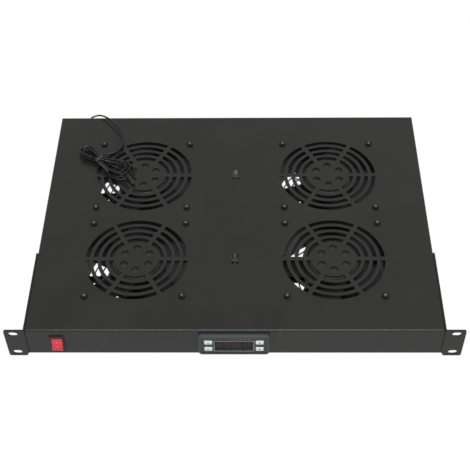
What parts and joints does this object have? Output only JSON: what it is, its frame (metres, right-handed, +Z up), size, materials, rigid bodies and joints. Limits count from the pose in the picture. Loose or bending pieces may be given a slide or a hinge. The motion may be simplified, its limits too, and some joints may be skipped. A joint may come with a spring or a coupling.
{
  "type": "rack fan tray",
  "caption": "Black steel fan tray for a 19-inch cabinet, with punched vents over axial fans, a rocker switch and a panel thermostat with a coiled sensor lead",
  "frame": {"origin": "centre of the four rack slots, on the front face of the rack ears", "axes": "+X to the right seen from the front, +Y into the cabinet, +Z up"},
  "size_m": [0.4842, 0.3481, 0.0547],
  "materials": {
    "black_steel": "black powder coat",
    "black_screw": "black zinc",
    "zinc": "zinc plated",
    "fan_casting": "black enamel on die cast aluminium",
    "fan_blades": "moulded glass filled nylon",
    "shaft_steel": "ground",
    "bearing_bronze": "sintered",
    "winding": "enamelled copper",
    "bezel_grey": "fine moulded texture",
    "black_plastic": "moulded",
    "smoked_window": "smoked filter",
    "display": "unlit display",
    "board": "circuit board",
    "key_white": "pale moulded keys",
    "rocker_red": "translucent red",
    "contact_metal": "plated",
    "lead_black": "flexible jacket",
    "rubber": "matt",
    "tie": "nylon",
    "probe": "moulded sleeve"
  },
  "bodies": {
    "tray": {"top_panel": "black_steel", "left_rack_ear": "black_steel", "right_rack_ear": "black_steel", "ear_screws": "black_screw", "ear_nuts": "zinc", "fan_screws": "black_screw", "fan_nuts": "zinc", "fan_bearings": "bearing_bronze", "control_bezel": "bezel_grey", "control_case": "black_plastic", "control_window": "smoked_window", "control_display": "display", "control_board": "board", "control_terminals": "black_plastic", "control_clips": "black_plastic", "switch_housing": "black_plastic", "switch_terminals": "contact_metal", "mains_inlet": "black_plastic", "inlet_pins": "contact_metal", "inlet_screws": "black_screw", "wiring_block": "black_plastic", "mains_lead": "lead_black", "control_lead": "lead_black", "fan_leads": "lead_black", "switch_lead": "lead_black", "sensor_inner_lead": "lead_black", "cable_ties": "tie", "sensor_lead": "lead_black", "sensor_lead_hank": "lead_black", "sensor_tie": "tie", "sensor_probe": "probe", "sensor_grommet": "rubber", "front_left_fan_frame": "fan_casting", "front_left_stator": "winding", "front_right_fan_frame": "fan_casting", "front_right_stator": "winding", "rear_left_fan_frame": "fan_casting", "rear_left_stator": "winding", "rear_right_fan_frame": "fan_casting", "rear_right_stator": "winding"},
    "front_left_rotor": {"front_left_impeller": "fan_blades", "front_left_shaft": "shaft_steel"},
    "front_right_rotor": {"front_right_impeller": "fan_blades", "front_right_shaft": "shaft_steel"},
    "rear_left_rotor": {"rear_left_impeller": "fan_blades", "rear_left_shaft": "shaft_steel"},
    "rear_right_rotor": {"rear_right_impeller": "fan_blades", "rear_right_shaft": "shaft_steel"},
    "rocker": {"switch_rocker": "rocker_red"},
    "upper_left_cap": {"upper_left_key": "key_white"},
    "lower_left_cap": {"lower_left_key": "key_white"},
    "upper_right_cap": {"upper_right_key": "key_white"},
    "lower_right_cap": {"lower_right_key": "key_white"}
  },
  "joints": [
    {"name": "front_left_spin", "type": "hinge", "parent": "tray", "child": "front_left_rotor", "pos_m": [-0.109, 0.0984, 0], "axis": [0, 0, 1], "continuous": true},
    {"name": "front_right_spin", "type": "hinge", "parent": "tray", "child": "front_right_rotor", "pos_m": [0.109, 0.0984, 0], "axis": [0, 0, 1], "continuous": true},
    {"name": "rear_left_spin", "type": "hinge", "parent": "tray", "child": "rear_left_rotor", "pos_m": [-0.109, 0.2284, 0], "axis": [0, 0, 1], "continuous": true},
    {"name": "rear_right_spin", "type": "hinge", "parent": "tray", "child": "rear_right_rotor", "pos_m": [0.109, 0.2284, 0], "axis": [0, 0, 1], "continuous": true},
    {"name": "rocker_tilt", "type": "hinge", "parent": "tray", "child": "rocker", "pos_m": [-0.1876, 0.0026, 0], "axis": [1, 0, 0], "range_deg": [0, 24]},
    {"name": "upper_left_press", "type": "slide", "parent": "tray", "child": "upper_left_cap", "axis": [0, 1, 0], "range_m": [0, 0.0005], "stiffness_N_per_m": 1500},
    {"name": "lower_left_press", "type": "slide", "parent": "tray", "child": "lower_left_cap", "axis": [0, 1, 0], "range_m": [0, 0.0005], "stiffness_N_per_m": 1500},
    {"name": "upper_right_press", "type": "slide", "parent": "tray", "child": "upper_right_cap", "axis": [0, 1, 0], "range_m": [0, 0.0005], "stiffness_N_per_m": 1500},
    {"name": "lower_right_press", "type": "slide", "parent": "tray", "child": "lower_right_cap", "axis": [0, 1, 0], "range_m": [0, 0.0005], "stiffness_N_per_m": 1500}
  ]
}
